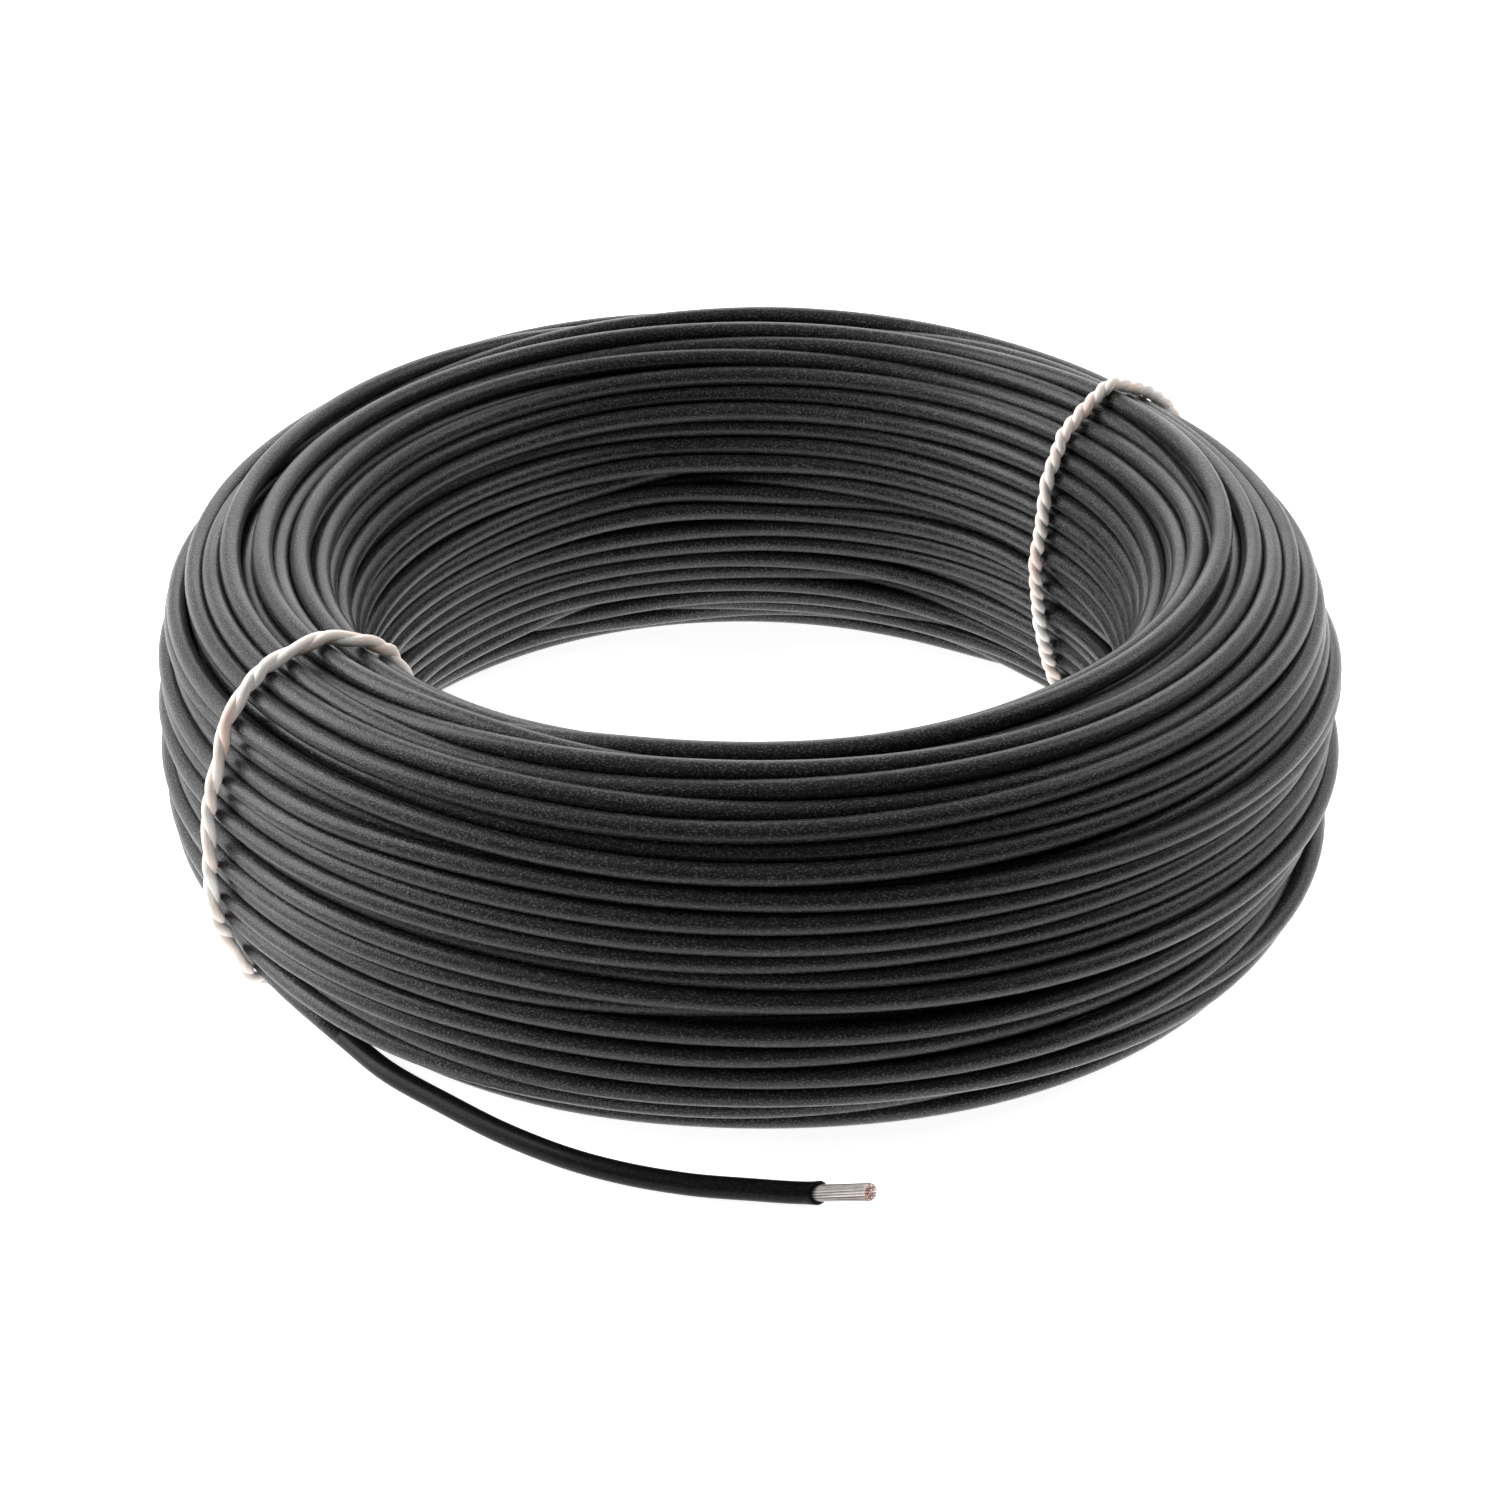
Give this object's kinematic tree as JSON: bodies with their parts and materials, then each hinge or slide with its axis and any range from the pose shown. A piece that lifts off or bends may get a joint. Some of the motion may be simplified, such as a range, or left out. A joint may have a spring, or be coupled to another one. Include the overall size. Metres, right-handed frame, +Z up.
{
  "type": "coil of electrical wire",
  "caption": "Round coil of single-core black insulated wire, held by twine ties, with its loose end stripped to the strands; raw stock for wiring.",
  "frame": {"origin": "on the coil's axis, at the floor the coil lies on", "axes": "+Z up along the coil's axis; +X to the viewer's right and -Y towards the viewer, on the side where the stripped end lies"},
  "size_m": [0.272, 0.2814, 0.0883],
  "materials": {
    "black_insulation": "matt black PVC with a fine grain",
    "loose_end_insulation": "matt black PVC with a fine grain",
    "tinned_strands": "tinned copper strands, pinkish at the cut ends",
    "twine": "twisted off-white twine"
  },
  "bodies": {
    "root": {"wire_coil": "black_insulation", "wire_tail": "loose_end_insulation", "conductor": "tinned_strands", "tie_left": "twine", "tie_right": "twine"}
  },
  "joints": []
}
